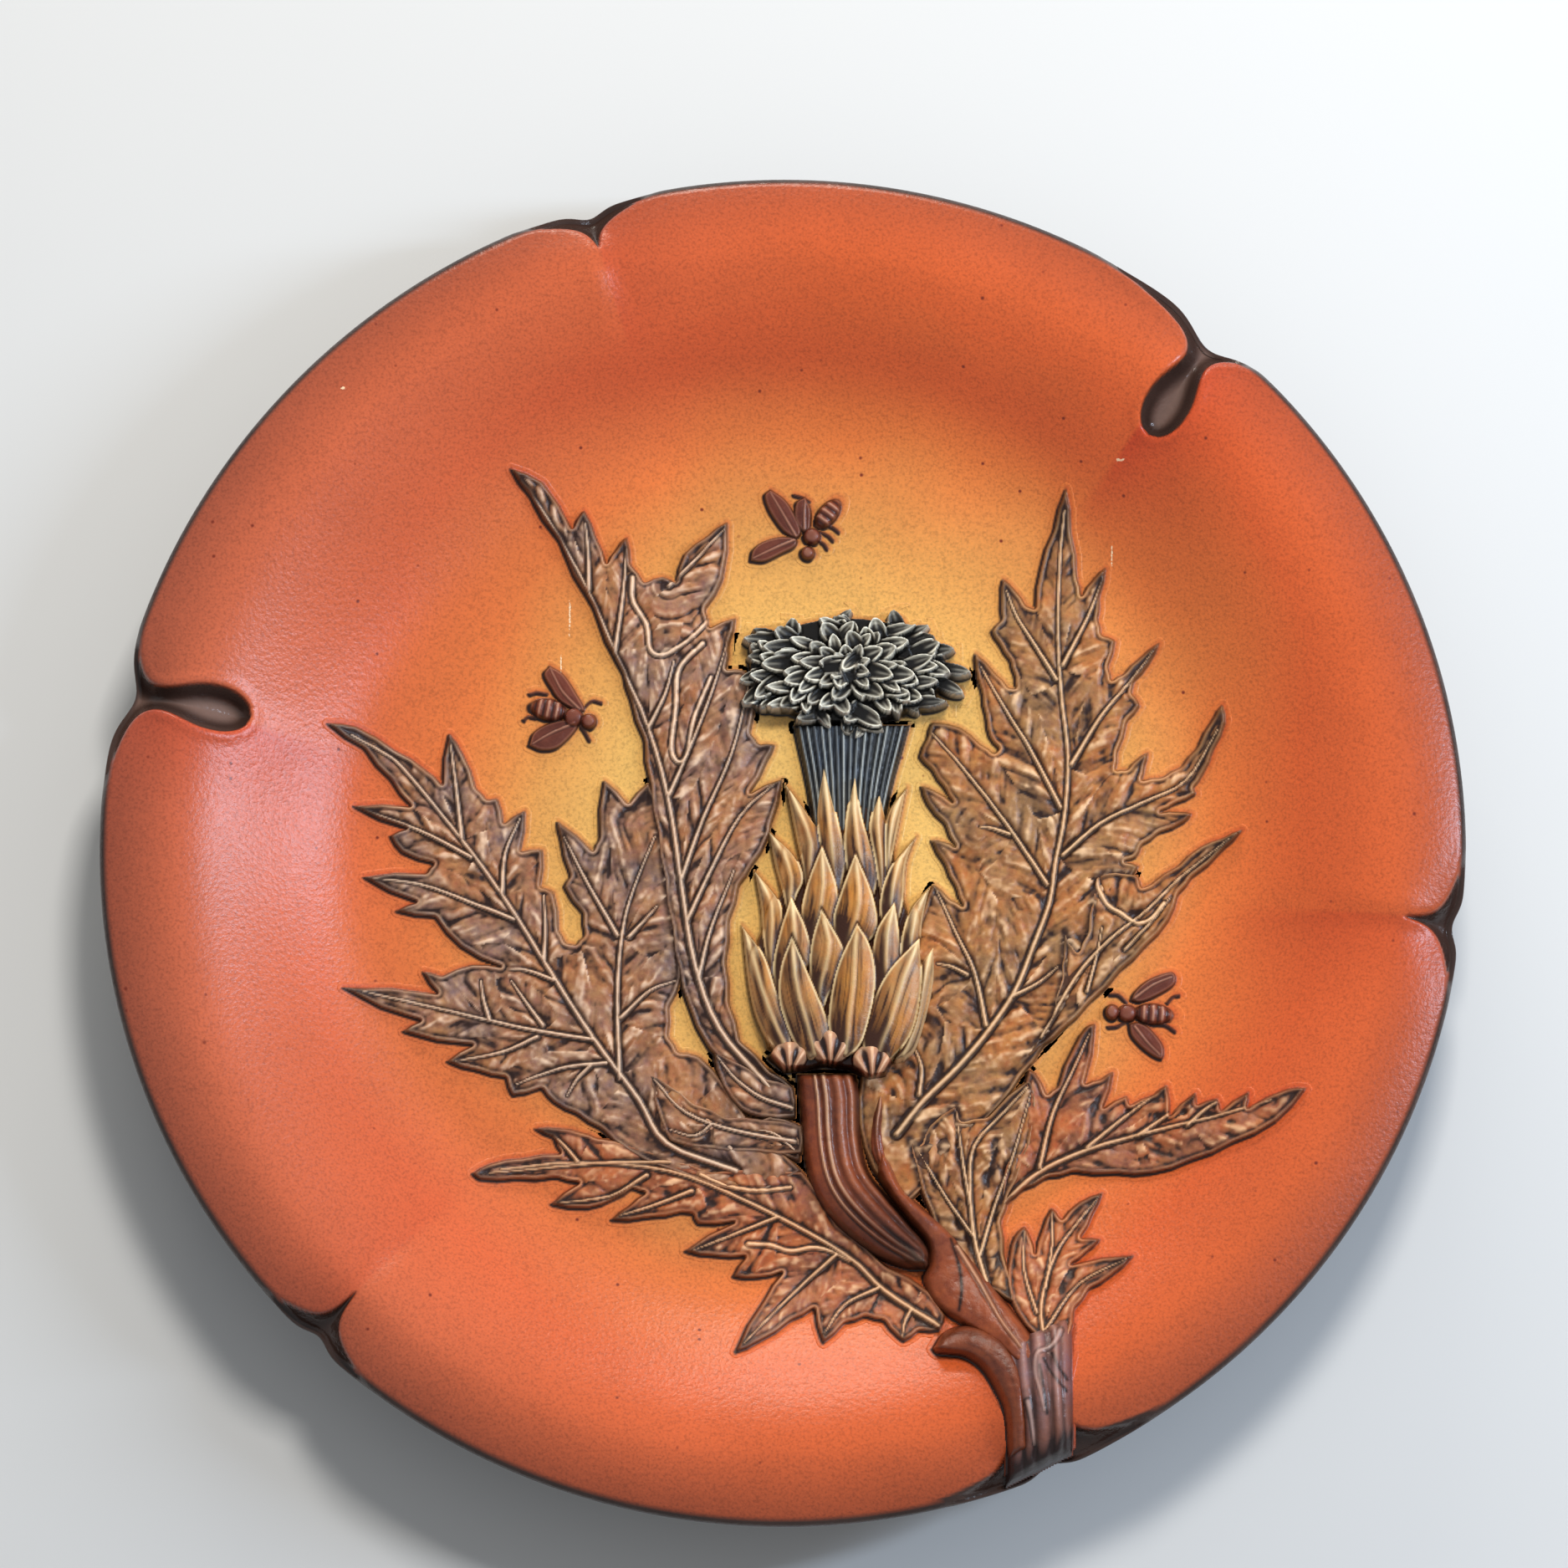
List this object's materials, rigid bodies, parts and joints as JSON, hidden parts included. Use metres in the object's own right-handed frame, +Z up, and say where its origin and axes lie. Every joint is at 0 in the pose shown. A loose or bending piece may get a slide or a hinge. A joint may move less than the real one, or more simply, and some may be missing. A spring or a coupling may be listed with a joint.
{
  "type": "decorative dish",
  "caption": "Round lobed earthenware dish with a broad rim, folded rim partings, a foot ring and a thistle with leaves and bees in low relief.",
  "frame": {"origin": "middle of the foot ring, on the surface that the dish lies on", "axes": "+Z up out of the well, +Y towards the top of the picture, +X to its right"},
  "size_m": [0.3195, 0.3194, 0.0415],
  "materials": {
    "earthenware": "satin airbrushed terracotta glaze, darker at the rim, with dark-stained relief"
  },
  "bodies": {
    "root": {"dish": "earthenware"}
  },
  "joints": []
}
